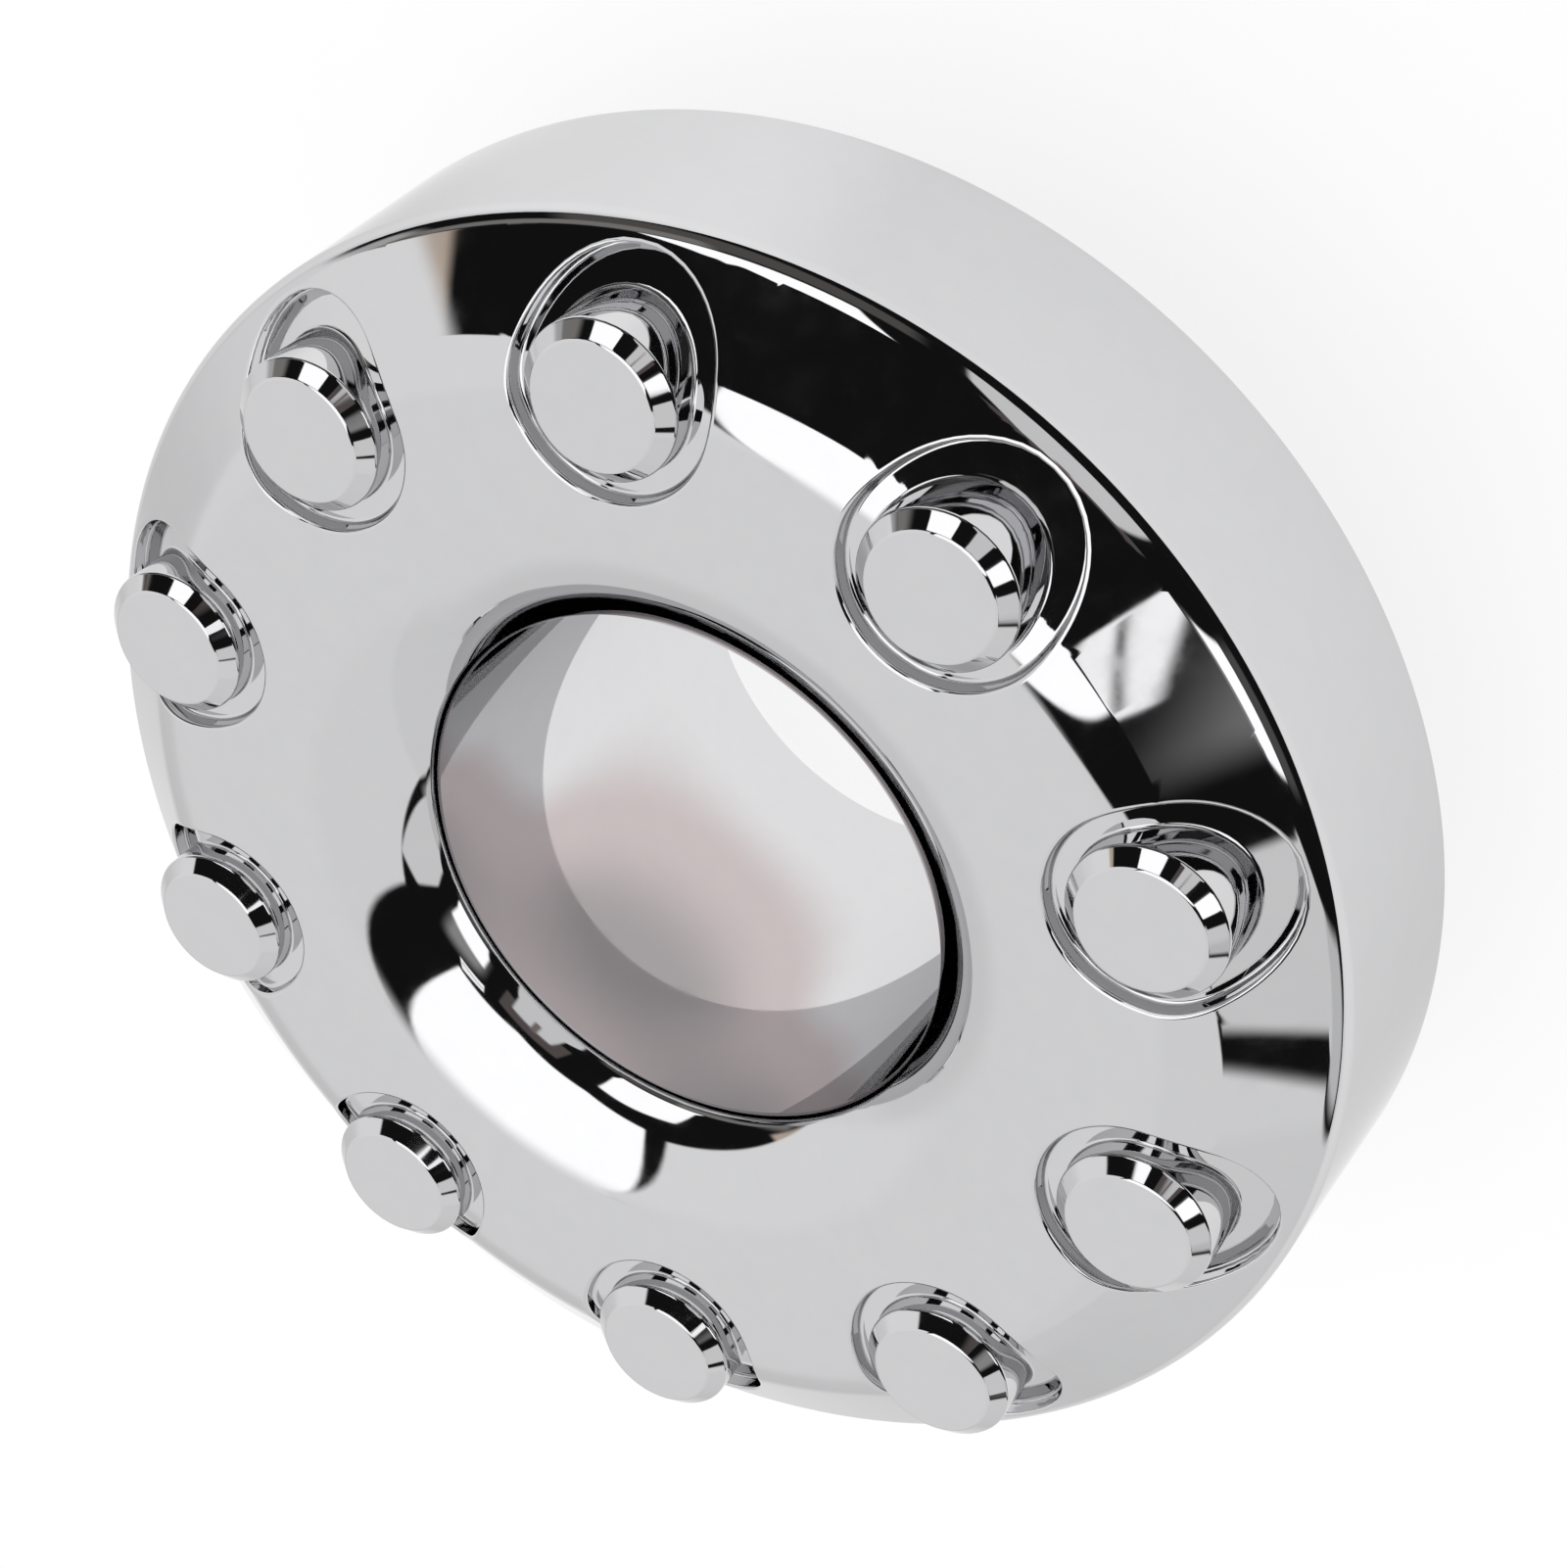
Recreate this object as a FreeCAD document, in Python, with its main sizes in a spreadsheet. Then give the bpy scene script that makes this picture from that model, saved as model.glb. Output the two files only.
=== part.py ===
import FreeCAD, Part
import math
import os

import Sketcher

# One-piece open wheel center cap: drafted skirt, rounded front ring with a cup-shaped lug cover
# standing in each of its shallow recesses, funnel, and a long tapered hub sleeve.
# Millimetres and degrees. Origin at the centre of the sleeve's back rim, +Z to the front.

# Driving sizes
SIZES = {
    "total_height": 125.0,
    "wall": 3.0,
    "lug_circle": 225.0,
    "lug_count": 10,
    "sleeve_radius": 52.8,
    "sleeve_land": 5.0,
    "sleeve_draft": 3.0,
    "lip_round": 5.5,
    "funnel_round": 41.0,
    "crest_inner": 90.0,
    "crest_outer": 108.2,
    "crest_drop": 4.3,
    "bend_round": 22.0,
    "bevel_slope": 35.0,
    "shoulder_round": 7.0,
    "skirt_radius": 140.8,
    "skirt_draft": 1.7,
    "skirt_depth": 69.5,
    "skirt_land": 2.0,
    "recess_depth": 3.1,
    "recess_round": 20.9,
    "recess_stretch": 1.2,
    "recess_shift": 1.2,
    "recess_wall": 2.6,
    "cover_radius": 15.85,
    "cover_bevel_width": 3.2,
    "cover_bevel_height": 2.9,
    "boss_radius": 17.2,
    "boss_length": 30.0,
    "cup_radius": 12.85,
    "cup_roof": 3.0,
}

doc = FreeCAD.newDocument("center_cap")
sheet = doc.addObject("Spreadsheet::Sheet", "sizes")
for row, (alias, number) in enumerate(SIZES.items(), start=1):
    sheet.set(f"A{row}", alias)
    sheet.set(f"B{row}", str(number))
    sheet.setAlias(f"B{row}", alias)
doc.recompute()


def size(alias):
    return float(sheet.get(alias))


def at(x, y, z=0.0):
    return FreeCAD.Vector(x, y, z)


def on_circle(centre, radius, degrees):
    angle = math.radians(degrees)
    return centre[0] + radius * math.cos(angle), centre[1] + radius * math.sin(angle)


UP = at(0, 0, 1)
START, END, CENTRE = range(1, 4)
AXES, AXES_CROSSING = -1, 1
UPRIGHT = FreeCAD.Rotation(at(1, 0, 0), 90)


class Outline:
    """A sketch with short calls for its lines, arcs, joints and dimensions."""

    def __init__(self, name, upright=True):
        self.sketch = doc.addObject("Sketcher::SketchObject", name)
        if upright:
            self.sketch.Placement = FreeCAD.Placement(at(0, 0), UPRIGHT)

    def line(self, start, end):
        return self.sketch.addGeometry(Part.LineSegment(at(*start), at(*end)), False)

    def arc(self, centre, radius, low, high):
        circle = Part.Circle(at(*centre), UP, radius)
        piece = Part.ArcOfCircle(circle, math.radians(low), math.radians(high))
        return self.sketch.addGeometry(piece, False)

    def rule(self, *words):
        return self.sketch.addConstraint(Sketcher.Constraint(*words))

    def measure(self, name, formula, *words):
        index = self.rule(*words)
        self.sketch.renameConstraint(index, name)
        self.sketch.setExpression("Constraints." + name, formula)

    def across(self, name, formula, piece, end, guess):
        self.measure(name, formula, "DistanceX", AXES, AXES_CROSSING, piece, end, guess)

    def up(self, name, formula, piece, end, guess):
        self.measure(name, formula, "DistanceY", AXES, AXES_CROSSING, piece, end, guess)

    def lean(self, name, formula, line, guess):
        """Hold a line's direction, in degrees from the sketch's horizontal."""
        self.measure(name, f"({formula}) * 1 deg", "Angle", line, math.radians(guess))

    def bridge(self, first, first_end, second, second_end):
        """A straight line between two ends."""
        start = self.sketch.getPoint(first, first_end)
        end = self.sketch.getPoint(second, second_end)
        line = self.line((start.x, start.y), (end.x, end.y))
        self.rule("Coincident", first, first_end, line, START)
        self.rule("Coincident", second, second_end, line, END)
        return line


def front_chain(outline, prefix, sink, inner, outer_guess):
    """Crest, bend and bevel, sunk below the front surface.

    sink and inner are each a formula and its present value; inner is the chain's first radius.
    """
    formula, depth = sink
    level = size("total_height") - size("crest_drop") - depth
    bend_radius = size("bend_round") - depth
    slope = size("bevel_slope")
    centre = (size("crest_outer"), level - bend_radius)
    bevel_start = on_circle(centre, bend_radius, 90 - slope)
    fall = (outer_guess - bevel_start[0]) * math.tan(math.radians(slope))
    crest = outline.line((inner[1], level), (centre[0], level))
    bend = outline.arc(centre, bend_radius, 90 - slope, 90)
    bevel = outline.line(bevel_start, (outer_guess, bevel_start[1] - fall))
    outline.rule("Horizontal", crest)
    outline.rule("Tangent", crest, END, bend, END)
    outline.rule("Tangent", bend, START, bevel, START)
    crest_level = f"sizes.total_height - sizes.crest_drop - ({formula})"
    outline.up(prefix + "_level", crest_level, crest, END, level)
    outline.across(prefix + "_outer", "sizes.crest_outer", crest, END, centre[0])
    outline.across(prefix + "_inner", inner[0], crest, START, inner[1])
    outline.measure(prefix + "_bend", f"sizes.bend_round - ({formula})", "Radius", bend, bend_radius)
    outline.lean(prefix + "_slope", "-sizes.bevel_slope", bevel, -slope)
    return crest, bend, bevel


# Front surface in section: sleeve, lip, funnel, crest, bend, bevel, shoulder and skirt
def make_front_line():
    outline = Outline("front_line")
    radius, land = size("sleeve_radius"), size("sleeve_land")
    draft = size("sleeve_draft")
    level = size("total_height") - size("crest_drop")
    funnel_centre = (size("crest_inner"), level - size("funnel_round"))
    lip_level = level - (size("funnel_round") - size("lip_round")) / 2
    lip_centre = (radius + lip_level * math.tan(math.radians(draft)) + size("lip_round"), lip_level)
    throat = math.degrees(math.atan2(lip_centre[1] - funnel_centre[1], lip_centre[0] - funnel_centre[0]))
    sleeve_top = on_circle(lip_centre, size("lip_round"), 180 - draft)

    sleeve_foot = outline.line((radius, 0), (radius, land))
    sleeve = outline.line((radius, land), sleeve_top)
    lip = outline.arc(lip_centre, size("lip_round"), throat, 180 - draft)
    funnel = outline.arc(funnel_centre, size("funnel_round"), 90, throat)
    outline.rule("Vertical", sleeve_foot)
    outline.rule("Coincident", sleeve_foot, END, sleeve, START)
    outline.rule("Tangent", sleeve, END, lip, END)
    outline.rule("Tangent", lip, START, funnel, END)
    outline.rule("PointOnObject", sleeve_foot, START, AXES)
    outline.across("sleeve_radius", "sizes.sleeve_radius", sleeve_foot, START, radius)
    outline.up("sleeve_land", "sizes.sleeve_land", sleeve_foot, END, land)
    outline.lean("sleeve_draft", "90 - sizes.sleeve_draft", sleeve, 90 - draft)
    outline.measure("lip_round", "sizes.lip_round", "Radius", lip, size("lip_round"))
    outline.measure("funnel_round", "sizes.funnel_round", "Radius", funnel, size("funnel_round"))

    inner = ("sizes.crest_inner", size("crest_inner"))
    crest, bend, bevel = front_chain(outline, "crest", ("0", 0.0), inner, size("skirt_radius") - size("wall"))
    outline.rule("Tangent", funnel, START, crest, START)

    rim = size("skirt_radius")
    rim_level = size("total_height") - size("skirt_depth")
    skirt_lean = size("skirt_draft")
    fall = (rim - size("crest_outer")) * math.tan(math.radians(size("bevel_slope")))
    shoulder_centre = (rim - size("shoulder_round"), level - fall)
    shoulder = outline.arc(shoulder_centre, size("shoulder_round"), skirt_lean, 90 - size("bevel_slope"))
    skirt = outline.line(on_circle(shoulder_centre, size("shoulder_round"), skirt_lean),
                         (rim, rim_level + size("skirt_land")))
    skirt_foot = outline.line((rim, rim_level + size("skirt_land")), (rim, rim_level))
    outline.rule("Tangent", bevel, END, shoulder, END)
    outline.rule("Tangent", shoulder, START, skirt, START)
    outline.rule("Coincident", skirt, END, skirt_foot, START)
    outline.rule("Vertical", skirt_foot)
    outline.across("skirt_radius", "sizes.skirt_radius", skirt_foot, END, rim)
    outline.up("skirt_back", "sizes.total_height - sizes.skirt_depth", skirt_foot, END, rim_level)
    outline.measure("skirt_land", "sizes.skirt_land", "DistanceY", skirt_foot, END,
                    skirt_foot, START, size("skirt_land"))
    outline.lean("skirt_draft", "sizes.skirt_draft - 90", skirt, skirt_lean - 90)
    outline.measure("shoulder_round", "sizes.shoulder_round", "Radius", shoulder, size("shoulder_round"))
    return outline.sketch


def turn_about_z(piece, degrees):
    piece.setExpression("Placement.Rotation.Axis.x", "0")
    piece.setExpression("Placement.Rotation.Axis.y", "0")
    piece.setExpression("Placement.Rotation.Axis.z", "1")
    piece.setExpression("Placement.Rotation.Angle", degrees)


def revolved(name, section, sweep="360", first_angle="180 / sizes.lug_count"):
    """Revolve a section about Z. A full ring has its seam between two lugs."""
    ring = doc.addObject("Part::Revolution", name)
    ring.Source = section
    ring.Axis = UP
    ring.Base = at(0, 0)
    ring.Solid = True
    ring.setExpression("Angle", sweep)
    turn_about_z(ring, first_angle)
    return ring


def cylinder(name, radius, low, high):
    """Upright cylinder on the first lug's axis; all three sizes are formulas."""
    post = doc.addObject("Part::Cylinder", name)
    post.setExpression("Radius", radius)
    post.setExpression("Height", f"({high}) - ({low})")
    post.setExpression("Placement.Base.x", "sizes.lug_circle / 2")
    post.setExpression("Placement.Base.z", low)
    return post


def combined(kind, name, first, second):
    result = doc.addObject("Part::" + kind, name)
    if kind == "Cut":
        result.Base, result.Tool = first, second
    else:
        result.Shapes = [first, second]
    return result


# Shell of even wall behind the front surface
def make_shell():
    section = doc.addObject("Part::Offset2D", "shell_section")
    section.Source = make_front_line()
    section.Mode = "Skin"
    section.Join = "Intersection"
    section.Fill = True
    section.setExpression("Value", "-sizes.wall")
    return revolved("shell", section)


HALF_WALL = ("sizes.wall / 2", size("wall") / 2)
FLOOR = ("sizes.recess_depth", size("recess_depth"))
UNDERSIDE = ("sizes.recess_depth + sizes.recess_wall", size("recess_depth") + size("recess_wall"))
INNER_LIMIT = ("sizes.sleeve_radius + 3 * sizes.wall", size("sleeve_radius") + 3 * size("wall"))
SECTOR = "360 / sizes.lug_count"
SECTOR_START = "-180 / sizes.lug_count"
BOSS_BACK = "sizes.total_height - sizes.boss_length"
COVER_FRONT = "sizes.total_height"
OVER_FRONT = "sizes.total_height + 2 * sizes.wall"


# Band that follows the front surface, sunk below it; it ends inside the skirt's wall
def make_dish_band():
    outline = Outline("dish_band_section")
    rim = size("skirt_radius") - size("wall")
    crest, _, bevel = front_chain(outline, "upper", HALF_WALL, INNER_LIMIT, rim)
    lower_crest, _, lower_bevel = front_chain(outline, "lower", UNDERSIDE, INNER_LIMIT, rim)
    outer = outline.bridge(bevel, END, lower_bevel, END)
    outline.bridge(crest, START, lower_crest, START)
    outline.rule("Vertical", outer)
    outline.across("outer", "sizes.skirt_radius - sizes.wall", outer, START, rim)
    return revolved("dish_band", outline.sketch, SECTOR, SECTOR_START)


# Everything above the recess floor, which follows the front surface
def make_above_floor():
    outline = Outline("above_floor_section")
    rim = size("skirt_radius")
    roof_level = size("total_height") + size("wall")
    crest, _, bevel = front_chain(outline, "floor", FLOOR, INNER_LIMIT, rim)
    roof = outline.line((INNER_LIMIT[1], roof_level), (rim, roof_level))
    inner = outline.bridge(crest, START, roof, START)
    outer = outline.bridge(bevel, END, roof, END)
    outline.rule("Horizontal", roof)
    outline.rule("Vertical", inner)
    outline.rule("Vertical", outer)
    outline.across("outer", "sizes.skirt_radius", roof, END, rim)
    outline.up("roof", "sizes.total_height + sizes.wall", roof, END, roof_level)
    return revolved("above_floor", outline.sketch, SECTOR, SECTOR_START)


# Rounded plan of a recess, a little longer along the radius than across it
def make_recess_prism(name, radius, guess, high):
    outline = Outline(name + "_plan", upright=False)
    middle = size("lug_circle") / 2 + size("recess_shift")
    near, far = middle - size("recess_stretch"), middle + size("recess_stretch")
    outer = outline.arc((far, 0), guess, -90, 90)
    inner = outline.arc((near, 0), guess, 90, 270)
    left = outline.line((far, guess), (near, guess))
    right = outline.line((near, -guess), (far, -guess))
    for first, second in [(outer, left), (left, inner), (inner, right), (right, outer)]:
        outline.rule("Tangent", first, END, second, START)
    outline.rule("PointOnObject", outer, CENTRE, AXES)
    outline.rule("PointOnObject", inner, CENTRE, AXES)
    recess_middle = "sizes.lug_circle / 2 + sizes.recess_shift"
    outline.across("far", recess_middle + " + sizes.recess_stretch", outer, CENTRE, far)
    outline.across("near", recess_middle + " - sizes.recess_stretch", inner, CENTRE, near)
    outline.measure("radius", radius, "Radius", outer, guess)

    prism = doc.addObject("Part::Extrusion", name)
    prism.Base = outline.sketch
    prism.DirMode = "Custom"
    prism.Dir = UP
    prism.Solid = True
    prism.setExpression("LengthFwd", f"({high}) - ({BOSS_BACK})")
    prism.setExpression("Placement.Base.z", BOSS_BACK)
    return prism


# Recess wall and floor, and the boss that becomes the lug cover and its cup
def make_lug_blank():
    radius = "sizes.recess_round + sizes.recess_wall"
    guess = size("recess_round") + size("recess_wall")
    dish_prism = make_recess_prism("dish_prism", radius, guess, COVER_FRONT)
    dish = combined("MultiCommon", "dish", dish_prism, make_dish_band())
    boss = cylinder("boss", "sizes.boss_radius", BOSS_BACK, COVER_FRONT + " + sizes.wall / 2")
    return combined("MultiFuse", "lug_blank", dish, boss)


# Outside form of a lug cover: straight side and bevelled front edge
def make_cover_form():
    core = cylinder("cover_core", "sizes.cover_radius", BOSS_BACK + " - sizes.wall", COVER_FRONT)
    doc.recompute()
    front_edge = 1 + next(
        index for index, edge in enumerate(core.Shape.Edges)
        if edge.Closed and edge.CenterOfMass.z > size("total_height") - 0.1
    )
    form = doc.addObject("Part::Chamfer", "cover_form")
    form.Base = core
    form.Edges = [(front_edge, size("cover_bevel_height"), size("cover_bevel_width"))]
    return form


# Ring-shaped trough between the recess wall and the lug cover
def make_trough():
    prism = make_recess_prism("recess_prism", "sizes.recess_round", size("recess_round"), OVER_FRONT)
    room = combined("MultiCommon", "recess_room", prism, make_above_floor())
    return combined("Cut", "trough", room, make_cover_form())


# Space inside a lug cover, open at the back
def make_cup():
    low, high = BOSS_BACK + " - sizes.wall", "sizes.total_height - sizes.cup_roof"
    return cylinder("cup", "sizes.cup_radius", low, high)


def around(name, unit):
    """One linked copy of a unit for each lug."""
    copies = []
    for position in range(int(size("lug_count"))):
        copy = doc.addObject("App::Link", f"{name}_{position}")
        copy.LinkedObject = unit
        copy.LinkTransform = True
        turn_about_z(copy, f"{position} * 360 / sizes.lug_count")
        copies.append(copy)
    return copies


def make_center_cap():
    body = doc.addObject("Part::MultiFuse", "full_body")
    body.Shapes = [make_shell()] + around("lug_blank", make_lug_blank())
    spaces = doc.addObject("Part::Compound", "spaces")
    spaces.Links = around("trough", make_trough()) + around("cup", make_cup())
    cap = combined("Cut", "center_cap", body, spaces)
    cap.Label = "center_cap"
    return cap


cap = make_center_cap()
doc.recompute()

for thing in doc.Objects:
    if "Invalid" in thing.State or "Error" in thing.State:
        raise RuntimeError(f"{thing.Name} did not build: {thing.State}")
if cap.Shape.isNull() or not cap.Shape.isValid() or len(cap.Shape.Solids) != 1:
    raise RuntimeError("center_cap is not one valid solid")

os.makedirs("parts", exist_ok=True)
cap.Shape.exportStep(os.path.join("parts", cap.Label + ".step"))
box = cap.Shape.BoundBox
print(f"center_cap {cap.Shape.Volume / 1000:.1f} cm3, "
      f"{box.XLength:.2f} x {box.YLength:.2f} x {box.ZLength:.2f}, {len(cap.Shape.Faces)} faces")
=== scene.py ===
# Wheel center cap: one moulded and chrome-plated shell with a drafted hub sleeve,
# ten recessed lug covers in its front ring and a deep skirt. Metres, +Z towards the front.
import math
import bpy
import numpy as np
from mathutils import Matrix


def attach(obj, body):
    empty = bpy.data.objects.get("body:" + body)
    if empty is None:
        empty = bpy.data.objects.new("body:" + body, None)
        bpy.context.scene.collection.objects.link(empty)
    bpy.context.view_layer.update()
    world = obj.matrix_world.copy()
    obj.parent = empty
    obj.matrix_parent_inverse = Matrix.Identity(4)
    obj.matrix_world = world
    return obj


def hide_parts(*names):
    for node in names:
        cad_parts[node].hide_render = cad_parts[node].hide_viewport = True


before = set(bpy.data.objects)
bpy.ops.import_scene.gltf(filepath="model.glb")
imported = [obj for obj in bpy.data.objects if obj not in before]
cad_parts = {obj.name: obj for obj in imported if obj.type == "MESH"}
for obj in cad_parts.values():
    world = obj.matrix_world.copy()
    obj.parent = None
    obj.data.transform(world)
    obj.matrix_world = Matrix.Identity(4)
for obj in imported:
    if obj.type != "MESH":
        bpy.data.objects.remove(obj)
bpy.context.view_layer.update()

mm = 0.001
turn = 2 * math.pi


def linearColour(text):
    # sRGB hex to linear light: the low end is a straight line, the rest a 2.4 power
    parts = [int(text[i:i + 2], 16) / 255 for i in (1, 3, 5)]
    return [v / 12.92 if v <= 0.04045 else ((v + 0.055) / 1.055) ** 2.4 for v in parts] + [1.0]


def addNode(tree, kind, settings={}, **links):
    # one node: settings are its own properties, links are socket names (or numbers as i0, i1..)
    node = tree.nodes.new(kind)
    for name, value in settings.items():
        setattr(node, name, value)
    for name, value in links.items():
        spot = node.inputs[int(name[1:])] if name[0] == "i" and name[1:].isdigit() else node.inputs[name.replace("_", " ")]
        if isinstance(value, bpy.types.NodeSocket):
            tree.links.new(value, spot)
        else:
            spot.default_value = value
    return node


# shape of the cap
cap = {
    "wall": 3.0,                 # mm, all lengths here are millimetres
    # corners of the front line: radius, height, rounding; from the sleeve's back rim
    # up the bore, over the lip and the funnel, across the crest, down bevel and skirt
    "frontLine": [(52.8, 0.0, 0.5), (52.8, 5.0, 30.0), (58.0660, 105.4850, 5.5), (71.5770, 120.7, 41.0),
                  (115.1367, 120.7, 22.0), (139.4290, 103.6900, 7.0), (140.8, 57.5, 30.0), (140.8, 55.5, 0.5)],
    "lugs": 10,
    "lugCircle": 112.5,          # radius to the middle of each cover
    "recess": (22.1, 20.9),      # half length along the radius, half width across it
    "recessShift": 1.2,          # middle of the recess, outwards of the cover's
    "recessDepth": 3.1,
    "recessDraft": 0.5,          # how far the wall leans in over its height
    "rimRound": 1.0,
    "footRound": 0.8,
    "coverRadius": 15.85,
    "coverFoot": 0.7,
    "coverTop": 125.0,
    "coverBevel": (3.2, 2.9),    # width, height
    "edgeRound": 0.45,
    "dishWall": 2.6,             # plastic round and under each recess
    "dishReach": 135.95,         # how far from the axis a dish may go
    "bossRadius": 17.2,
    "bossEnd": 95.0,
    "cupRadius": 12.85,
    "cupRoof": 122.0,
    "perSector": 24,             # columns of the mesh in one lug's sector
    "cellColumns": (16, 20),     # of these, how many meet the oval field round a recess, front and back
    "fieldRows": (9, 4),         # rows between that field's border and the recess, front and back
}


def roundedPath(corners):
    # closed line through corners (r, z, rounding): an arc at each corner, tangent to both legs,
    # then the straight to the next; each stretch keeps its start, heading and curvature
    c = np.array(corners, float)
    leg = np.roll(c[:, :2], -1, 0) - c[:, :2]
    heading = np.arctan2(leg[:, 1], leg[:, 0])
    before = np.roll(heading, 1)
    bend = (heading - before + math.pi) % turn - math.pi
    cut = c[:, 2] * np.tan(np.abs(bend) / 2)
    arc = c[:, 2] * np.abs(bend)
    straight = np.maximum(np.hypot(*leg.T) - cut - np.roll(cut, -1), 0)
    length = np.column_stack((arc, straight)).ravel()
    direction = np.column_stack((np.cos(before), np.sin(before)))
    onward = np.column_stack((np.cos(heading), np.sin(heading)))
    return {
        "starts": np.concatenate(([0], np.cumsum(length)[:-1])), "total": length.sum(), "length": length,
        "point": np.stack((c[:, :2] - cut[:, None] * direction, c[:, :2] + cut[:, None] * onward), 1).reshape(-1, 2),
        "heading": np.column_stack((before, heading)).ravel(),
        "curve": np.column_stack((bend / np.maximum(arc, 1e-9), 0 * arc)).ravel(),
    }


def along(path, s):
    # point and heading at length s: the chord of an arc is its length times sinc of half its turn
    s = np.asarray(s, float) % path["total"]
    k = np.searchsorted(path["starts"], s, "right") - 1
    step = s - path["starts"][k]
    half = path["curve"][k] * step / 2
    chord = step * np.sinc(half / math.pi)
    middle = path["heading"][k] + half
    return (path["point"][k, 0] + chord * np.cos(middle), path["point"][k, 1] + chord * np.sin(middle),
            path["heading"][k] + 2 * half)


def lengthAtRadius(path, r, lo, hi):
    # the length between lo and hi at which the line has radius r: looked up, then three Newton steps
    s = np.linspace(lo, hi, 600)
    radius = along(path, s)[0]
    order = np.argsort(radius)
    found = np.interp(r, radius[order], s[order])
    for step in range(3):
        now, height, heading = along(path, found)
        found = found + (r - now) / np.cos(heading)
    return found


def stations(path, lo, hi, maxTurn, maxStep):
    # lengths at which a row of the mesh is put: every end of a stretch, and steps between
    ends = np.concatenate((path["starts"] - path["total"], path["starts"], path["starts"] + path["total"]))
    ends = np.sort(ends[(ends > lo + 0.01) & (ends < hi - 0.01)])
    marks = np.concatenate(([lo], ends[np.diff(ends, prepend=lo) > 0.01], [hi]))
    rows = [np.array([lo])]
    for a, b in zip(marks[:-1], marks[1:]):
        bend = abs(along(path, b - 1e-6)[2] - along(path, a + 1e-6)[2])
        n = max(1, min(math.ceil(bend / maxTurn), math.ceil((b - a) / 0.2)), math.ceil((b - a) / maxStep))
        rows.append(np.linspace(a, b, n + 1)[1:])
    return np.concatenate(rows)


def offsetCorners(corners, depth):
    # the same line set in by depth: each corner moves along the sum of its two normals
    c = np.array(corners, float)
    leg = np.diff(c[:, :2], axis=0)
    n = np.column_stack((leg[:, 1], -leg[:, 0])) / np.hypot(*leg.T)[:, None]
    first = np.vstack((n[:1], n))
    last = np.vstack((n, n[-1:]))
    shift = depth * (first + last) / (1 + (first * last).sum(1))[:, None]
    rounding = np.maximum(c[:, 2] - depth, c[:, 2].min())
    return [(a[0] + b[0], a[1] + b[1], d) for a, b, d in zip(c, shift, rounding)]


front = cap["frontLine"]
inside = offsetCorners(front, cap["wall"])[::-1]
shell = roundedPath(front + inside)
corner = shell["starts"][::2]                   # where the arc of each corner starts
straightStart = shell["starts"][1::2]
crestLo, crestHi = corner[3], straightStart[5] - 0.5      # funnel start to shoulder end, radius grows
insideLo, insideHi = corner[10] + 0.5, straightStart[12]
funnelEdge = lengthAtRadius(shell, 88.5, crestLo, crestHi)
skirtEdge = corner[5] + 0.9
innerSkirtEdge = corner[10] - 2
innerFunnelEdge = lengthAtRadius(shell, 85.0, insideLo, insideHi)


def ringHeight(r):
    return along(shell, lengthAtRadius(shell, r, crestLo, crestHi))[1]


def insideHeight(r):
    return along(shell, lengthAtRadius(shell, r, insideLo, insideHi))[1]


def sunkHeight(r, depth):
    # the crest line set in by depth: level, then the bend about its centre, then straight down the bevel
    top = front[4][1]
    angle = math.atan2(front[4][1] - front[5][1], front[5][0] - front[4][0])
    bendFrom = front[4][0] - front[4][2] * math.tan(angle / 2)
    radius = front[4][2] - depth
    centre = top - front[4][2]
    bendTo = bendFrom + radius * math.sin(angle)
    arc = centre + np.sqrt(np.maximum(radius ** 2 - np.clip(r - bendFrom, 0, radius * math.sin(angle)) ** 2, 0))
    return np.where(r < bendTo, arc, centre + radius * math.cos(angle) - (r - bendTo) * math.tan(angle))


def outlineDistance(phi, growth):
    # from the middle of a cover, in direction phi, to the oval edge of its recess
    a, b = cap["recess"][0] + growth, cap["recess"][1] + growth
    square = (np.cos(phi) / a) ** 2 + (np.sin(phi) / b) ** 2
    cross = -2 * cap["recessShift"] * np.cos(phi) / a ** 2
    rest = (cap["recessShift"] / a) ** 2 - 1
    return (-cross + np.sqrt(cross ** 2 - 4 * square * rest)) / (2 * square)


def planRadius(rho, phi):
    return np.hypot(cap["lugCircle"] + rho * np.cos(phi), rho * np.sin(phi))


def tangentCorner(height, rho, phi, reach):
    # a point on a surface at rho, and where its tangent line is at rho + reach
    z = height(planRadius(rho, phi))
    slope = (height(planRadius(rho + 0.02, phi)) - height(planRadius(rho - 0.02, phi))) / 0.04
    return (rho, z), (rho + reach, z + slope * reach)


def between(p, q, distance):
    # the point that lies distance from p on the way to q, never past 45 percent of it
    share = np.minimum(distance / np.maximum(np.hypot(q[0] - p[0], q[1] - p[1]), 1e-6), 0.45)
    return (p[0] + share * (q[0] - p[0]), p[1] + share * (q[1] - p[1]))


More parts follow.
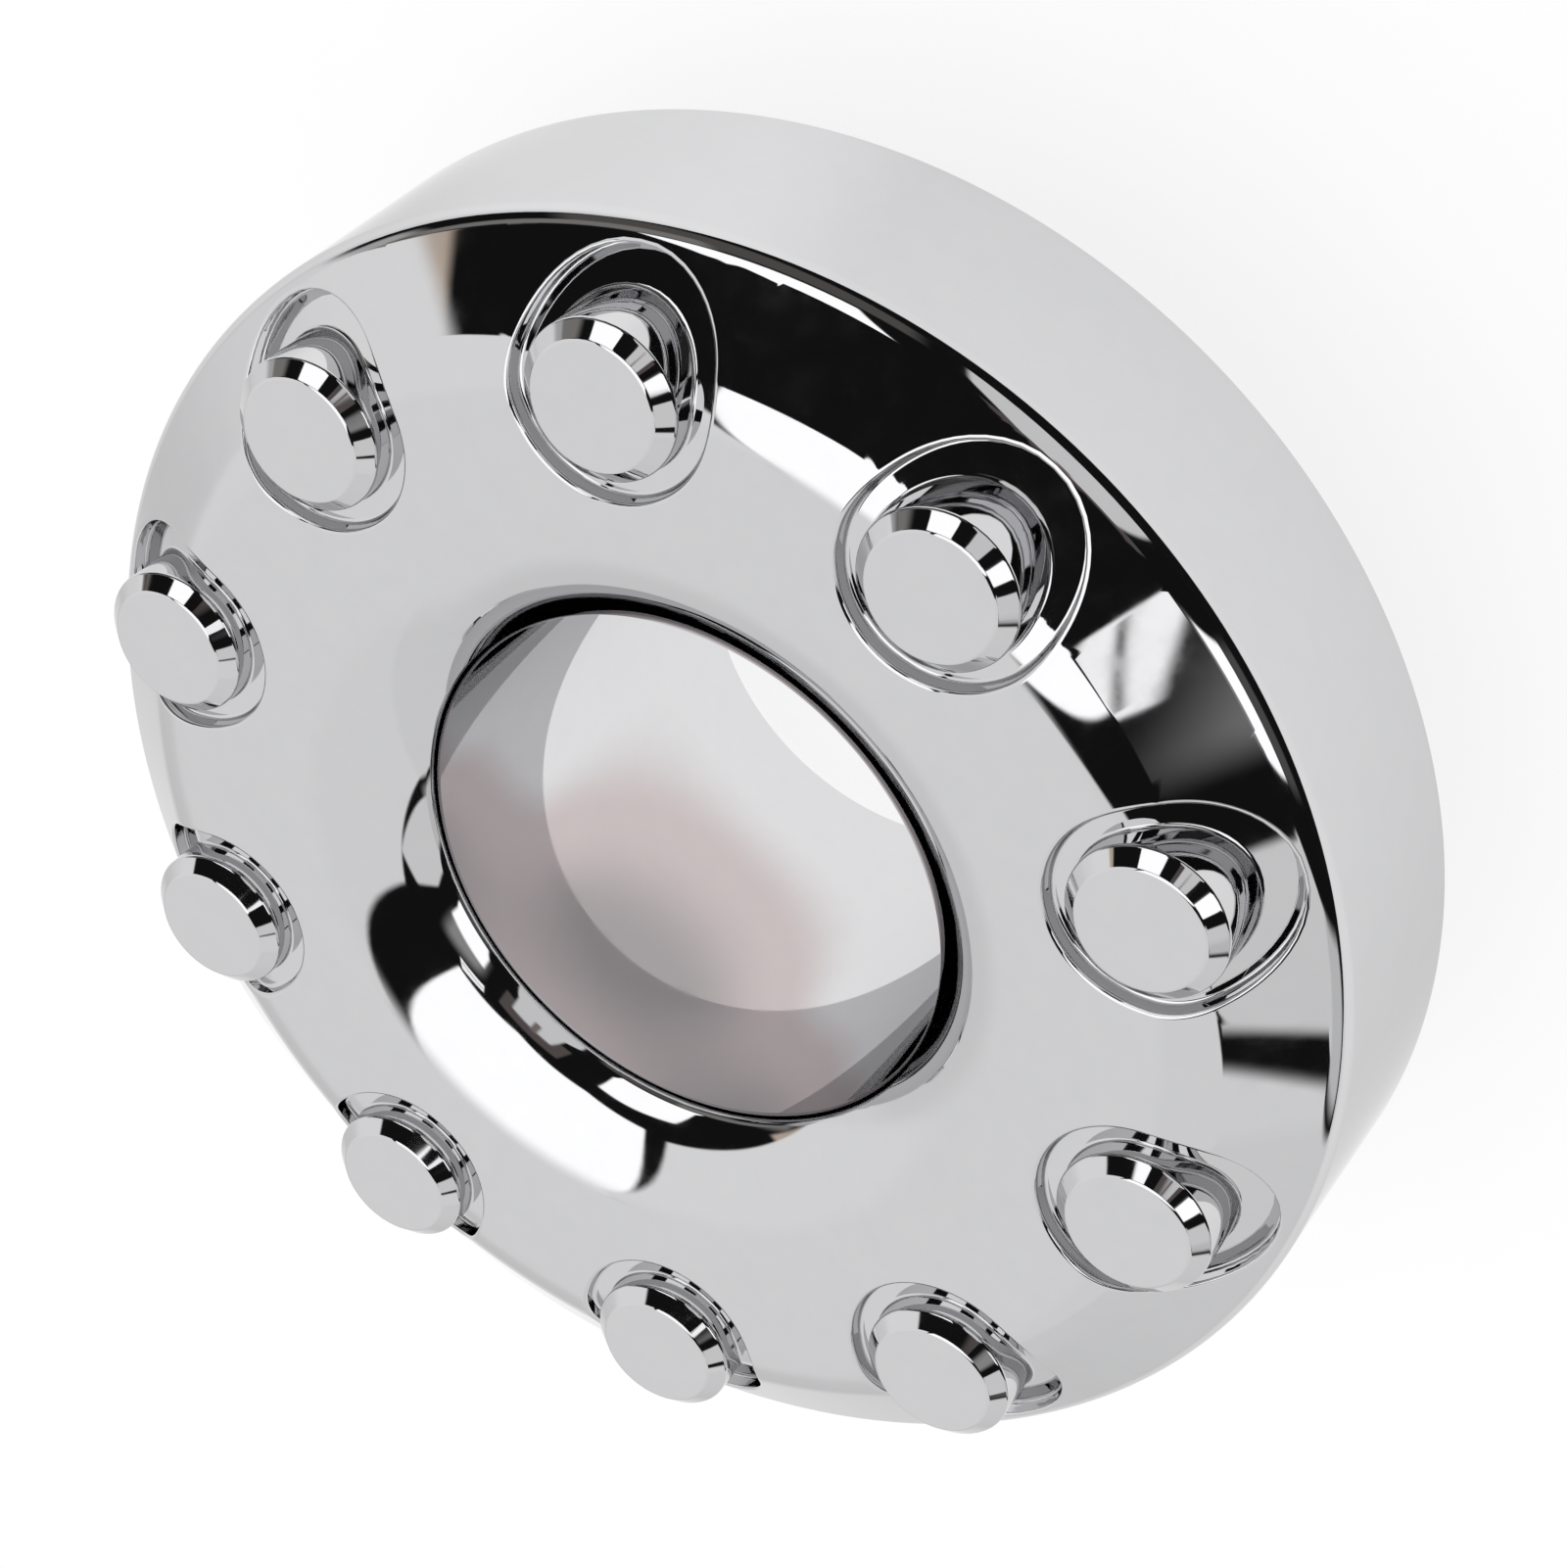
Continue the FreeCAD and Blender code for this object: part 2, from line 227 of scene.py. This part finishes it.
def lugStretches(phi):
    # the section of the front along the ray phi from a cover's middle, rim first:
    # three points each, start, pull and end of a quadratic curve; None: straight on the sunk floor
    o = np.ones_like(phi)
    edge = outlineDistance(phi, 0)
    floor = lambda r: sunkHeight(r, cap["recessDepth"])
    rimA, rimC = tangentCorner(ringHeight, edge + cap["rimRound"], phi, -cap["rimRound"])
    footF, footC = tangentCorner(floor, edge - cap["recessDraft"] - cap["footRound"], phi, cap["footRound"])
    rimB, footE = between(rimC, footC, cap["rimRound"]), between(footC, rimC, cap["footRound"])
    foot, radius = cap["coverFoot"], cap["coverRadius"]
    baseG, baseC = tangentCorner(floor, (radius + foot) * o, phi, -foot)
    baseH = (radius * o, baseC[1] + foot)
    wide, high = cap["coverBevel"]
    sideC, topC = (radius * o, (cap["coverTop"] - high) * o), ((radius - wide) * o, cap["coverTop"] * o)
    e = cap["edgeRound"]
    sideJ, sideK = (radius * o, sideC[1] - e), between(sideC, topC, e)
    topJ, topK = between(topC, sideC, e), (topC[0] - e, topC[1])
    centre = (1.2 * o, topC[1])
    half = lambda p, q: ((p[0] + q[0]) / 2, (p[1] + q[1]) / 2)
    return [(rimA, rimC, rimB), (rimB, half(rimB, footE), footE), (footE, footC, footF), (footF, None, baseG),
            (baseG, baseC, baseH), (baseH, half(baseH, sideJ), sideJ), (sideJ, sideC, sideK),
            (sideK, half(sideK, topJ), topJ), (topJ, topC, topK), (topK, half(topK, centre), centre)]


def backStretches(phi):
    # the same from behind: under the recess, down the boss, round its end and up into the cup
    o = np.ones_like(phi)
    edge = outlineDistance(phi, cap["dishWall"])
    # stays off the skirt's inside: where the ray leaves the circle of the largest plan radius
    limit = np.sqrt(cap["dishReach"] ** 2 - (cap["lugCircle"] * np.sin(phi)) ** 2) - cap["lugCircle"] * np.cos(phi)
    edge = -np.logaddexp(-edge * 2, -limit * 2) / 2
    floor = lambda r: sunkHeight(r, cap["recessDepth"] + cap["dishWall"])
    rimA, rimC = tangentCorner(insideHeight, edge + 0.25, phi, -0.25)
    footF, footC = tangentCorner(floor, edge - 1.0, phi, 0.7)
    rimB, footE = between(rimC, footC, 0.25), between(footC, rimC, 0.7)
    boss, cup, end = cap["bossRadius"], cap["cupRadius"], cap["bossEnd"]
    baseG, baseC = tangentCorner(floor, (boss + 1.2) * o, phi, -1.2)
    baseH = (boss * o, baseC[1] - 1.2)
    outC, inC, roofC = (boss * o, end * o), (cup * o, end * o), (cup * o, cap["cupRoof"] * o)
    outJ, outK = (boss * o, outC[1] + 0.5), (outC[0] - 0.5, outC[1])
    inJ, inK = (inC[0] + 0.5, inC[1]), (inC[0], inC[1] + 0.5)
    roofJ, roofK = (roofC[0], roofC[1] - 1), (roofC[0] - 1, roofC[1])
    centre = (1.2 * o, roofC[1])
    half = lambda p, q: ((p[0] + q[0]) / 2, (p[1] + q[1]) / 2)
    return [(rimA, rimC, rimB), (rimB, half(rimB, footE), footE), (footE, footC, footF), (footF, None, baseG),
            (baseG, baseC, baseH), (baseH, half(baseH, outJ), outJ), (outJ, outC, outK),
            (outK, half(outK, inJ), inJ), (inJ, inC, inK), (inK, half(inK, roofJ), roofJ),
            (roofJ, roofC, roofK), (roofK, half(roofK, centre), centre)]


def sectionPoint(stretches, depth, u, phi):
    # place on the section: the whole part of u is the stretch, the rest t runs along it,
    # (1-t)^2 start + 2t(1-t) pull + t^2 end; on the floor the height is the sunk crest's
    rho, z = np.zeros_like(phi), np.zeros_like(phi)
    which = np.clip(np.floor(u), 0, None).astype(int)
    for k, (p, pull, q) in enumerate(stretches(phi)):
        t = u - k
        if pull is None:
            place = p[0] + t * (q[0] - p[0])
            height = sunkHeight(planRadius(place, phi), depth)
        else:
            place, height = ((1 - t) ** 2 * p[i] + 2 * t * (1 - t) * pull[i] + t ** 2 * q[i] for i in (0, 1))
        rho = np.where(which == k, place, rho)
        z = np.where(which == k, height, z)
    last = which >= len(stretches(phi[:1, :1]))
    rho, z = np.where(last, place, rho), np.where(last, height, z)
    return np.stack((cap["lugCircle"] + rho * np.cos(phi), rho * np.sin(phi), z), -1)


def spun(r, theta, z):
    return np.stack((r * np.cos(theta), r * np.sin(theta), z), -1)


def ringRows(s, theta):
    # points and normals of the shell at lengths s and angles theta
    r, z, heading = along(shell, s)
    return spun(r, theta, z), spun(-np.sin(heading), theta, np.cos(heading))


def unit(v):
    return v / np.linalg.norm(v, axis=-1, keepdims=True)


def lugCell(stretches, depth, counts, n, fieldRows, bandS, edgeLo, edgeHi, side):
    # the oval field round one recess as rows of a closed loop of columns, from its border, a
    # rectangle in (length, angle) of the shell, to the middle of the cover. Between border and
    # recess edge the rows go in straight lines of (length, angle), so they stay on the shell.
    inner, outer, m = bandS[0], bandS[-1], len(bandS) - 1
    arc = np.linspace(-0.5, 0.5, n + 1) * turn / cap["lugs"] * n / cap["perSector"]
    s = np.concatenate(([inner], bandS[1:-1], np.full(n + 1, outer), bandS[-2:0:-1], np.full(n, inner)))
    theta = np.concatenate((np.full(m, arc[0]), arc, np.full(m - 1, arc[-1]), arc[:0:-1]))
    r = along(shell, s)[0]
    phi = np.unwrap(np.arctan2(r * np.sin(theta), r * np.cos(theta) - cap["lugCircle"]))
    edge = stretches(phi)[0][0][0]
    edgeTheta = np.arctan2(edge * np.sin(phi), cap["lugCircle"] + edge * np.cos(phi))
    edgeS = lengthAtRadius(shell, planRadius(edge, phi), edgeLo, edgeHi)
    w = 1 - np.linspace(0, 1, fieldRows + 1)[1:, None]
    points, normals = ringRows(edgeS + w * (s - edgeS), edgeTheta + w * (theta - edgeTheta))
    u = np.concatenate([k + np.arange(1, c + 1) / c for k, c in enumerate(counts)])
    u[-1] = len(counts) - 1e-9
    grid = np.repeat(u[:, None], len(phi), 1)
    around = np.repeat(phi[None, :], len(u), 0)
    here = sectionPoint(stretches, depth, grid, around)
    alongU = sectionPoint(stretches, depth, grid + 1e-4, around) - sectionPoint(stretches, depth, grid - 1e-4, around)
    alongPhi = sectionPoint(stretches, depth, grid, around + 1e-4) - sectionPoint(stretches, depth, grid, around - 1e-4)
    across = unit(np.cross(alongPhi, alongU)) * side
    return np.concatenate((points, here)), np.concatenate((normals, across))


# the mesh, block by block
frontCounts = [6, 3, 5, 6, 5, 3, 4, 1, 4, 1]
backCounts = [2, 1, 2, 2, 3, 1, 2, 1, 2, 1, 3, 1]
n, lugs = cap["perSector"], cap["lugs"]
columns = n * lugs
angles = (np.arange(columns) / n - 0.5) * turn / lugs
sleeveRows = stations(shell, innerFunnelEdge - shell["total"], funnelEdge, math.radians(4.5), 16)
skirtRows = stations(shell, skirtEdge, innerSkirtEdge, math.radians(4.5), 16)
frontBand = stations(shell, funnelEdge, skirtEdge, math.radians(2.2), 2.4)
backBand = stations(shell, innerSkirtEdge, innerFunnelEdge, math.radians(12), 9)[::-1]
blocks, blockNormals = [], []
quads, triangles, quadSide, triangleSide = [], [], [], []


def addBlock(points, normals):
    # keeps a block of points and returns the numbers of its vertices in the block's own shape
    first = sum(len(b) for b in blocks)
    blocks.append(points.reshape(-1, 3))
    blockNormals.append(normals.reshape(-1, 3))
    return first + np.arange(len(blocks[-1])).reshape(points.shape[:-1])


def addGrid(index, flip, side, closed=True):
    # the faces of a grid of vertex numbers; closed: its last column meets its first
    a, b = index[:-1], index[1:]
    c, d = np.roll(b, -1, 1), np.roll(a, -1, 1)
    faces = np.stack((a, d, c, b) if flip else (a, b, c, d), -1)
    faces = faces if closed else faces[:, :-1]
    quads.append(faces.reshape(-1, 4))
    quadSide.append(np.broadcast_to(np.reshape(side, (-1, 1)), faces.shape[:2]).ravel())


def ringBlock(s, theta):
    return addBlock(*ringRows(*np.broadcast_arrays(s[:, None], theta[None, :])))


def turned(v, angle):
    c, s = math.cos(angle), math.sin(angle)
    return v @ np.array([[c, s, 0], [-s, c, 0], [0, 0, 1]])


def addCells(stretches, depth, counts, bandS, lo, hi, innerRing, outerRing, flip, side):
    # ten fields with their covers or cups, and ten strips of plain shell between them
    half = cap["cellColumns"][side] // 2
    strips = []
    for k in range(lugs):
        ring = (k * n + n // 2 + np.arange(half, n - half + 1)) % columns
        inner = ringBlock(bandS[1:-1], angles[n // 2] + (k * n + np.arange(half, n - half + 1)) * turn / columns)
        strip = np.vstack((innerRing[ring], inner, outerRing[ring]))
        addGrid(strip, not flip if bandS[0] > bandS[-1] else False, side, closed=False)
        strips.append(strip)
    points, normals = lugCell(stretches, depth, counts, 2 * half, cap["fieldRows"][side], bandS, lo, hi, 1 if flip else -1)
    for k in range(lugs):
        ring = (k * n + n // 2 + np.arange(-half, half + 1)) % columns
        left, right = strips[k - 1][1:-1, -1], strips[k][1:-1, 0]
        border = np.concatenate((innerRing[ring[:1]], left, outerRing[ring], right[::-1], innerRing[ring[:0:-1]]))
        spin = k * turn / lugs
        rows = addBlock(turned(points, spin), turned(normals, spin))
        addGrid(np.vstack((border, rows)), flip, side)
        middle = np.array([[cap["lugCircle"], 0, points[-1, 0, 2]]])
        pole = addBlock(turned(middle, spin), np.array([[0, 0, 1.0 if flip else -1.0]]))
        a, b = rows[-1], np.roll(rows[-1], -1)
        triangles.append(np.stack((a, b, a * 0 + pole[0]) if flip else (b, a, a * 0 + pole[0]), -1))
        triangleSide.append(np.full(len(a), side))


def insideFaces(rows):
    # 1 for the faces whose row starts on the inside of the shell, which has a duller finish
    return (rows[:-1] % shell["total"] > corner[8] + 1).astype(int)


sleeve, skirt = ringBlock(sleeveRows, angles), ringBlock(skirtRows, angles)
addGrid(sleeve, False, insideFaces(sleeveRows))
addGrid(skirt, False, insideFaces(skirtRows))
addCells(lugStretches, cap["recessDepth"], frontCounts, frontBand, crestLo, crestHi,
         sleeve[-1], skirt[0], True, 0)
addCells(backStretches, cap["recessDepth"] + cap["dishWall"], backCounts, backBand,
         insideLo, insideHi, sleeve[0], skirt[-1], False, 1)

verts = np.concatenate(blocks) * mm
normals = unit(np.concatenate(blockNormals))
quads, triangles = np.concatenate(quads), np.concatenate(triangles)
mesh = bpy.data.meshes.new("chromeCenterCap")
mesh.from_pydata(verts.tolist(), [], quads.tolist() + triangles.tolist())
mesh.polygons.foreach_set("use_smooth", np.ones(len(mesh.polygons), bool))
mesh.polygons.foreach_set("material_index", np.concatenate(quadSide + triangleSide).astype(np.int32))
mesh.update()
mesh.normals_split_custom_set_from_vertices(normals.tolist())
capPiece = bpy.data.objects.new("chromeCenterCap", mesh)
bpy.context.scene.collection.objects.link(capPiece)
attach(capPiece, "root")
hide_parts("center_cap")
print("cap mesh:", len(verts), "points,", 2 * len(quads) + len(triangles), "triangles")

# chrome plating
chrome = {
    "colour": "#CFCFD0", "tint": "#CBCBCD",      # chrome gives back a good 60 % of the light, nearly neutral
    "roughness": (0.018, 0.05),
    "peelSize": 22.0,                            # mm between the slow waves of a moulded skin
    "peelHeight": 0.004,                         # mm
    "backRoughness": (0.20, 0.27),
    "backColour": "#BEBFC1", "backTint": "#B9BABD",
}


def platedPlastic(name, colours, roughness, peelSize, peelHeight):
    material = bpy.data.materials.new(name)
    material.use_nodes = True
    tree = material.node_tree
    shader = tree.nodes["Principled BSDF"]
    place = addNode(tree, "ShaderNodeTexCoord").outputs["Object"]
    slow = addNode(tree, "ShaderNodeTexNoise", Vector=place, Scale=1000 / peelSize, Detail=2.0, Roughness=0.4)
    fine = addNode(tree, "ShaderNodeTexNoise", Vector=place, Scale=1000 / 6.0, Detail=4.0, Roughness=0.55)
    mix = addNode(tree, "ShaderNodeMix", {"data_type": "RGBA"}, Factor=fine.outputs[0])
    mix.inputs[6].default_value, mix.inputs[7].default_value = (linearColour(c) for c in colours)
    sheen = addNode(tree, "ShaderNodeMapRange", Value=fine.outputs[0], From_Min=0.35, From_Max=0.7,
                    To_Min=roughness[0], To_Max=roughness[1])
    bump = addNode(tree, "ShaderNodeBump", Height=slow.outputs[0], Strength=1.0, Distance=peelHeight * mm)
    shader.inputs["Metallic"].default_value = 1.0
    shader.inputs["Specular Tint"].default_value = (0.78, 0.78, 0.78, 1)     # chromium brightens little at its edges
    tree.links.new(mix.outputs[2], shader.inputs["Base Color"])
    tree.links.new(sheen.outputs[0], shader.inputs["Roughness"])
    tree.links.new(bump.outputs[0], shader.inputs["Normal"])
    return material


# bright chrome plated over polished moulded ABS: a mirror with a faint slow wave in it
mesh.materials.append(platedPlastic("chromePlatedAbs", (chrome["colour"], chrome["tint"]), chrome["roughness"],
                                    chrome["peelSize"], chrome["peelHeight"]))
# the same plating over the unpolished inside of the moulding: satin, a little darker
mesh.materials.append(platedPlastic("chromePlatedAbsInside", (chrome["backColour"], chrome["backTint"]),
                                    chrome["backRoughness"], 9.0, 0.01))

# studio: floor, surroundings and camera
studio = {
    "gain": 1.62,                # makes up for what chrome swallows
    "room": "#101010",           # the dark half of the studio
    # the floor as the chrome mirrors it, in painted light and shade: a painted shadow under the skirt, lighter a little
    # way off, darker far off, its painted strip of light, and inside the bore painted shade from the nearer side to the
    # far side
    "floor": {"near": "#CFCFCF", "open": "#D8D8D8", "far": "#C6C6C6", "strip": "#E0E0E0",
              "boreShadedSide": "#A5A0A0", "boreMiddle": "#CABFBE", "boreFar": "#DEDEDE"},
    "lightStripAzimuth": -12,
    "boreAzimuth": 122,          # from the bore's shaded side to its lit side
    "tableEdge": (-80, 0.34),    # the side where the pale table ends, degrees, and how far off, metres
    # flat sheets round the cap, each painted over those before it: colour, softness of its edge
    # in degrees, then its corners as (azimuth, elevation) in degrees; each is convex
    "sheets": [
        ("#FFFFFF", 0.5, [(103.7, 57.4), (-8, 53.2), (-36, 56.6), (-75, 58.3), (-114, 57.3)]),
        ("#A99B8E", 1.0, [(30, 29), (25, 26), (34, 18), (44, 18)]),
        ("#9A9A9A", 3.0, [(27, 17), (27, 4), (45, 4), (45, 17)]),
        ("#D2D2D2", 0.7, [(2, 52), (85.5, 66.1), (85.5, 10), (39, 10)]),
        ("#CDCDCD", 3.5, [(37, 13), (90, 13), (90, -14), (38, -14)]),
        ("#CBCBCB", 0.9, [(118, 66.1), (-154, 52.6), (-174, 24), (-180, 10), (118, 10)]),
        ("#C6C6C6", 1.5, [(118, 24), (-174, 24), (-174, -14), (118, -14)]),
        ("#CECECE", 6.0, [(74, 66.5), (132, 66.5), (132, -14), (74, -14)]),
        ("#C5C5C5", 7.0, [(60, 12), (150, 12), (150, -14), (60, -14)]),
        ("#C2C2C2", 0.8, [(-161, 46), (-147, 48), (-138, 40), (-144, 20), (-167, 20), (-167, 29)]),
        ("#B2B2B2", 2.5, [(-170, 24), (-144, 24), (-146, -1), (-170, -1)]),
        ("#808080", 3.0, [(-127, 50), (-103, 51), (-103, 42), (-126, 40)]),
        ("#FFFFFF", 0.8, [(-127, 42), (-103, 47), (-103, 20), (-124, 20)]),
        ("#454545", 2.5, [(-125, 18), (-103, 18), (-103, 0), (-125, 0)]),
        ("#F0F0F0", 0.25, [(-115, 53.2), (-99, 53.8), (-98, 56.6), (-112, 56.6)]),
        ("#6A6A6A", 0.15, [(-113, 54.5), (-99, 55.7), (-99, 55.4), (-113, 54.2)]),
        ("#4C4645", 0.5, [(-90, 53.6), (-56, 53.6), (-54, 45), (-90, 45)]),
        ("#BEBEBE", 0.7, [(-84, 50), (-62, 50), (-54, 26), (-54, 4), (-86, 4)]),
        ("#6B5F5E", 0.6, [(-73, 51.5), (-69.5, 51.5), (-69.5, 46), (-73, 46)]),
        ("#FFFFFF", 0.5, [(-36, 50), (-24, 49), (-5, 42), (-2, 26), (-36, 24)]),
        ("#484644", 2.5, [(-46, 18), (6, 21), (6, -3), (-46, -3)]),
        ("#6E6C6A", 2.0, [(-14, 24), (30, 22), (30, 14), (-14, 12)]),
    ],
}

def direction(azimuth, elevation):
    a, e = math.radians(azimuth), math.radians(elevation)
    return math.cos(a) * math.cos(e), math.sin(a) * math.cos(e), math.sin(e)


floorMesh = bpy.data.meshes.new("studioFloor")
spread = np.linspace(0, turn, 96, endpoint=False)
rim = np.column_stack((1.4 * np.cos(spread), 1.4 * np.sin(spread), 0 * spread))
floorMesh.from_pydata(rim.tolist(), [], [list(range(len(rim)))])
floorPiece = bpy.data.objects.new("studioFloor", floorMesh)
bpy.context.scene.collection.objects.link(floorPiece)

floorPaint = bpy.data.materials.new("paleFloorPaint")      # matt white paint, keeps a faint shadow
floorPaint.use_nodes = True
tree = floorPaint.node_tree
tree.nodes.clear()
path = addNode(tree, "ShaderNodeLightPath")
place = addNode(tree, "ShaderNodeTexCoord").outputs["Object"]
grain = addNode(tree, "ShaderNodeTexNoise", Vector=place, Scale=40.0, Detail=3.0)
tone = addNode(tree, "ShaderNodeMix", {"data_type": "RGBA"}, Factor=grain.outputs[0],
               i6=linearColour("#FAFAFA"), i7=linearColour("#F4F4F4"))
matt = addNode(tree, "ShaderNodeBsdfDiffuse", Color=tone.outputs[2])
glow = addNode(tree, "ShaderNodeEmission", Color=(1, 1, 1, 1), Strength=0.82)
share = addNode(tree, "ShaderNodeMixShader", Fac=0.25, i2=matt.outputs[0])
seen = addNode(tree, "ShaderNodeAddShader", i0=glow.outputs[0], i1=share.outputs[0])
# what the chrome mirrors of it is painted light and shade: a painted shadow, darkest under the skirt, then light,
# fading outwards, with one painted strip of light; inside the bore painted shade on the nearer side, and it ends at the
# table's edge
floorTone = {name: linearColour(value) for name, value in studio["floor"].items()}
away = addNode(tree, "ShaderNodeVectorMath", {"operation": "LENGTH"}, i0=place).outputs["Value"]
heading = addNode(tree, "ShaderNodeVectorMath", {"operation": "NORMALIZE"}, i0=place).outputs[0]
across = addNode(tree, "ShaderNodeVectorMath", {"operation": "DOT_PRODUCT"}, i0=place,
                 i1=direction(studio["boreAzimuth"], 0)).outputs["Value"]
strip = addNode(tree, "ShaderNodeVectorMath", {"operation": "DOT_PRODUCT"}, i0=heading,
                i1=direction(studio["lightStripAzimuth"], 0)).outputs["Value"]
tableEdge = addNode(tree, "ShaderNodeVectorMath", {"operation": "DOT_PRODUCT"}, i0=place,
                    i1=direction(studio["tableEdge"][0], 0)).outputs["Value"]
# painted shadow under the skirt, lighter a little way off, a painted strip of light, darker far off
layers = [(away, 0.13, 0.26, floorTone["open"]), (strip, 0.86, 0.985, floorTone["strip"]),
          (away, 0.35, 1.1, floorTone["far"]),
          (tableEdge, studio["tableEdge"][1] - 0.01, studio["tableEdge"][1] + 0.01, linearColour(studio["room"]))]
tone = floorTone["near"]
for value, low, high, colour in layers:
    share = addNode(tree, "ShaderNodeMapRange", {"interpolation_type": "SMOOTHSTEP"}, Value=value, From_Min=low, From_Max=high)
    tone = addNode(tree, "ShaderNodeMix", {"data_type": "RGBA"}, Factor=share.outputs[0], i6=tone, i7=colour).outputs[2]
# painted shade inside the bore: darker on the nearer side, then pinkish grey, light on the far side
bore = floorTone["boreShadedSide"]
for low, high, colour in ((-0.045, 0.0, floorTone["boreMiddle"]), (0.004, 0.030, floorTone["boreFar"])):
    share = addNode(tree, "ShaderNodeMapRange", {"interpolation_type": "SMOOTHSTEP"}, Value=across, From_Min=low, From_Max=high)
    bore = addNode(tree, "ShaderNodeMix", {"data_type": "RGBA"}, Factor=share.outputs[0], i6=bore, i7=colour).outputs[2]
share = addNode(tree, "ShaderNodeMapRange", Value=away, From_Min=0.0545, From_Max=0.054)
tone = addNode(tree, "ShaderNodeMix", {"data_type": "RGBA"}, Factor=share.outputs[0], i6=tone, i7=bore).outputs[2]
# these painted tones of light and shade are seen only by rays that the chrome mirrors; camera rays see the white floor
paintedFloorLightAndShade = addNode(tree, "ShaderNodeEmission", Color=tone, Strength=studio["gain"])
pick = addNode(tree, "ShaderNodeMixShader", Fac=path.outputs["Is Glossy Ray"], i1=seen.outputs[0], i2=paintedFloorLightAndShade.outputs[0])
addNode(tree, "ShaderNodeOutputMaterial", i0=pick.outputs[0])
floorMesh.materials.append(floorPaint)

world = bpy.data.worlds.new("softStudio")
bpy.context.scene.world = world
world.use_nodes = True
tree = world.node_tree
tree.nodes.clear()
way = addNode(tree, "ShaderNodeTexCoord").outputs["Generated"]
paint = linearColour(studio["room"])
for colour, softness, corners in studio["sheets"]:
    # a direction is inside a sheet when it lies on the inner side of the plane through each edge:
    # its product with the plane's normal is the sine of the angle past that edge
    c = np.array([direction(*pair) for pair in corners])
    planes = unit(np.cross(c, np.roll(c, -1, 0)))
    planes *= np.sign(planes @ c.mean(0))[:, None]
    reach = math.sin(math.radians(softness))
    inside = 1.0
    for plane in planes:
        past = addNode(tree, "ShaderNodeVectorMath", {"operation": "DOT_PRODUCT"}, i0=way, i1=plane.tolist())
        inside = addNode(tree, "ShaderNodeMapRange", {"interpolation_type": "SMOOTHSTEP"}, Value=past.outputs["Value"],
                         From_Min=-reach, From_Max=reach, To_Max=inside).outputs[0]
    paint = addNode(tree, "ShaderNodeMix", {"data_type": "RGBA"}, Factor=inside, i6=paint, i7=linearColour(colour)).outputs[2]
height = addNode(tree, "ShaderNodeSeparateXYZ", Vector=way).outputs[2]
below = addNode(tree, "ShaderNodeMapRange", {"interpolation_type": "SMOOTHSTEP"}, Value=height,
                From_Min=-0.16, From_Max=-0.19)
paint = addNode(tree, "ShaderNodeMix", {"data_type": "RGBA"}, Factor=below.outputs[0], i6=paint,
                i7=floorTone["far"]).outputs[2]
lit = addNode(tree, "ShaderNodeBackground", Color=paint, Strength=studio["gain"])
white = addNode(tree, "ShaderNodeBackground", Color=(1, 1, 1, 1), Strength=1.0)
path = addNode(tree, "ShaderNodeLightPath")
pick = addNode(tree, "ShaderNodeMixShader", Fac=path.outputs["Is Camera Ray"], i1=lit.outputs[0], i2=white.outputs[0])
addNode(tree, "ShaderNodeOutputWorld", i0=pick.outputs[0])
cameraData = bpy.data.cameras.new("productCamera")
cameraData.sensor_width = 36.0
cameraData.lens = 3189.27 / 1601 * 36.0          # focal length in pixels of the frame, as millimetres
cameraData.clip_start = 0.01
camera = bpy.data.objects.new("productCamera", cameraData)
bpy.context.scene.collection.objects.link(camera)
right = np.array((-0.53586, -0.69046, -0.48593))
up = np.array((0.82032, -0.28953, -0.49321))
back = np.cross(right, up)
pose = np.eye(4)
pose[:3, 0], pose[:3, 1], pose[:3, 2], pose[:3, 3] = right, up, back, (0.127991, -0.431799, 0.534406)
camera.matrix_world = Matrix(pose.tolist())
bpy.context.scene.camera = camera
bpy.context.scene.view_settings.view_transform = "Standard"
print("studio and camera placed")

bpy.context.view_layer.update()
